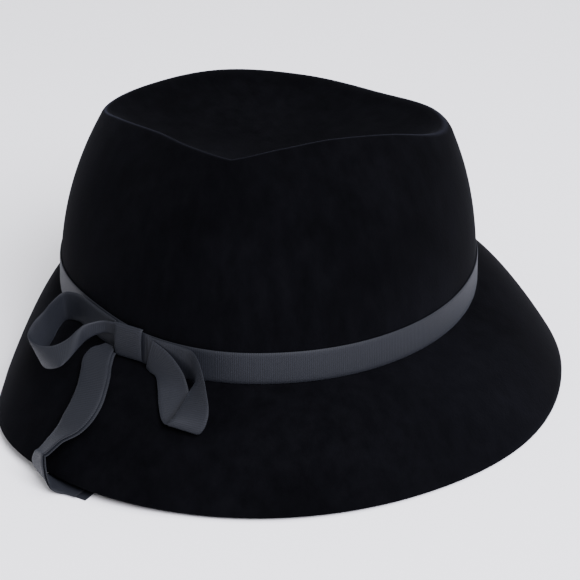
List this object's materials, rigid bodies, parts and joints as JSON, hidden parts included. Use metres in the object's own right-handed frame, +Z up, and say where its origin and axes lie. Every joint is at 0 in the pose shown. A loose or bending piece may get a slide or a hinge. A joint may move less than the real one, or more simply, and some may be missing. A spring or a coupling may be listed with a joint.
{
  "type": "velour felt hat",
  "caption": "Black velour felt hat with a teardrop dent in the crown, a turned-down brim, a narrow ribbed ribbon band and a flat bow at one side of the front.",
  "frame": {"origin": "under the middle of the whole hat, on the surface it rests on", "axes": "+Z up, -Y towards the front of the hat, +X towards the wearer's left"},
  "size_m": [0.2276, 0.2892, 0.1115],
  "materials": {
    "velour_felt": "velour nap, matt",
    "grosgrain_ribbon": "ribbed weave, slightly glossy"
  },
  "bodies": {
    "root": {"felt_body": "velour_felt", "ribbon_band": "grosgrain_ribbon", "bow_knot": "grosgrain_ribbon", "bow_loop_left": "grosgrain_ribbon", "bow_loop_right": "grosgrain_ribbon", "bow_tail_upper": "grosgrain_ribbon", "bow_tail_lower": "grosgrain_ribbon"}
  },
  "joints": []
}
